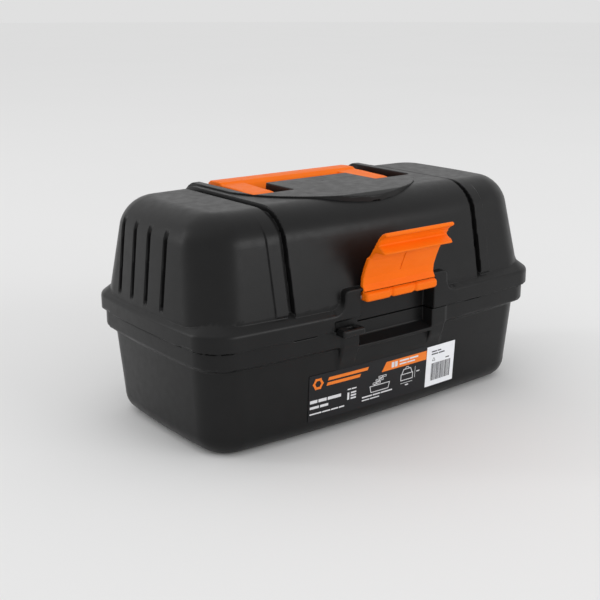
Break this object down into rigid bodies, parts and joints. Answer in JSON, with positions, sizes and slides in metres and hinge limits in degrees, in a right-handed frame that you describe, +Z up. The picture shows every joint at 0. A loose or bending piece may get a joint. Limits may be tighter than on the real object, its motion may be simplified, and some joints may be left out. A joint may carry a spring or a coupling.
{
  "type": "toolbox",
  "caption": "Plastic toolbox with a hinged lid, folding top handle, front finger latch and stacked compartment trays that fan out on parallel arms.",
  "frame": {"origin": "middle of the flat bottom face", "axes": "+X along the length to the right, -Y out of the front with the latch, +Z up"},
  "size_m": [0.4058, 0.26, 0.213],
  "materials": {
    "black_plastic": "satin, finely grained moulded plastic",
    "orange_plastic": "satin moulded plastic",
    "grey_plastic": "satin moulded plastic",
    "steel": "drawn wire",
    "label_film": "printed film",
    "sticker_paper": "printed paper sticker"
  },
  "bodies": {
    "base": {"tub": "black_plastic", "front_label": "label_film", "price_sticker": "sticker_paper", "hinge_rod_left": "steel", "hinge_rod_right": "steel", "tub_pin_rear_left": "steel", "tub_pin_rear_right": "steel", "tub_pin_front_left": "steel", "tub_pin_front_right": "steel"},
    "lid": {"lid": "black_plastic", "latch_rod": "steel", "handle_pin_left": "steel", "handle_pin_right": "steel", "lid_link_pin_left": "steel", "lid_link_pin_right": "steel"},
    "latch": {"latch": "orange_plastic"},
    "handle": {"handle": "orange_plastic"},
    "arm_rear_left": {"arm_rear_left": "grey_plastic"},
    "arm_rear_right": {"arm_rear_right": "grey_plastic"},
    "arm_front_left": {"arm_front_left": "grey_plastic"},
    "arm_front_right": {"arm_front_right": "grey_plastic"},
    "tray_lower": {"tray_lower": "grey_plastic", "pin_lower_rear_left": "steel", "pin_lower_rear_right": "steel", "pin_lower_front_left": "steel", "pin_lower_front_right": "steel"},
    "tray_middle": {"tray_middle": "grey_plastic", "pin_middle_rear_left": "steel", "pin_middle_rear_right": "steel", "pin_middle_front_left": "steel", "pin_middle_front_right": "steel"},
    "tray_upper": {"tray_upper": "grey_plastic", "pin_upper_rear_left": "steel", "pin_upper_rear_right": "steel", "pin_upper_front_left": "steel", "pin_upper_front_right": "steel", "tray_link_pin_left": "steel", "tray_link_pin_right": "steel"},
    "lid_link_left": {"lid_link_left": "grey_plastic"},
    "lid_link_right": {"lid_link_right": "grey_plastic"}
  },
  "joints": [
    {"name": "lid_hinge", "type": "hinge", "parent": "base", "child": "lid", "pos_m": [0, 0.114, 0.1015], "axis": [-1, 0, 0], "range_deg": [0, 110]},
    {"name": "latch_hinge", "type": "hinge", "parent": "lid", "child": "latch", "pos_m": [0, -0.1085, 0.1285], "axis": [1, 0, 0], "range_deg": [0, 145]},
    {"name": "handle_hinge", "type": "hinge", "parent": "lid", "child": "handle", "pos_m": [0, -0.008, 0.2025], "axis": [1, 0, 0], "range_deg": [0, 95]},
    {"name": "arm_rear_left_swing", "type": "hinge", "parent": "base", "child": "arm_rear_left", "pos_m": [0, 0.074, 0.09], "axis": [-1, 0, 0], "range_deg": [0, 89]},
    {"name": "arm_rear_right_swing", "type": "hinge", "parent": "base", "child": "arm_rear_right", "pos_m": [0, 0.074, 0.09], "axis": [-1, 0, 0], "range_deg": [0, 89]},
    {"name": "arm_front_left_swing", "type": "hinge", "parent": "base", "child": "arm_front_left", "pos_m": [0, 0.019, 0.09], "axis": [-1, 0, 0], "range_deg": [0, 89]},
    {"name": "arm_front_right_swing", "type": "hinge", "parent": "base", "child": "arm_front_right", "pos_m": [0, 0.019, 0.09], "axis": [-1, 0, 0], "range_deg": [0, 89]},
    {"name": "tray_lower_level", "type": "hinge", "parent": "arm_rear_left", "child": "tray_lower", "pos_m": [0, 0.04646, 0.11832], "axis": [-1, 0, 0], "range_deg": [-89, 0]},
    {"name": "tray_middle_level", "type": "hinge", "parent": "arm_rear_left", "child": "tray_middle", "pos_m": [0, 0.01892, 0.14664], "axis": [-1, 0, 0], "range_deg": [-89, 0]},
    {"name": "tray_upper_level", "type": "hinge", "parent": "arm_rear_left", "child": "tray_upper", "pos_m": [0, -0.00861, 0.17495], "axis": [-1, 0, 0], "range_deg": [-89, 0]},
    {"name": "lid_link_left_swing", "type": "hinge", "parent": "lid", "child": "lid_link_left", "pos_m": [0, 0.0782, 0.1263], "axis": [-1, 0, 0], "range_deg": [-34, 0]},
    {"name": "lid_link_right_swing", "type": "hinge", "parent": "lid", "child": "lid_link_right", "pos_m": [0, 0.0782, 0.1263], "axis": [-1, 0, 0], "range_deg": [-34, 0]}
  ],
  "couplings": [
    {"joint": "arm_rear_left_swing", "follows": "lid_hinge", "ratio": 0.80364},
    {"joint": "arm_rear_right_swing", "follows": "lid_hinge", "ratio": 0.80364},
    {"joint": "arm_front_left_swing", "follows": "lid_hinge", "ratio": 0.80364},
    {"joint": "arm_front_right_swing", "follows": "lid_hinge", "ratio": 0.80364},
    {"joint": "tray_lower_level", "follows": "lid_hinge", "ratio": -0.80364},
    {"joint": "tray_middle_level", "follows": "lid_hinge", "ratio": -0.80364},
    {"joint": "tray_upper_level", "follows": "lid_hinge", "ratio": -0.80364},
    {"joint": "lid_link_left_swing", "follows": "lid_hinge", "ratio": -0.3008},
    {"joint": "lid_link_right_swing", "follows": "lid_hinge", "ratio": -0.3008}
  ]
}
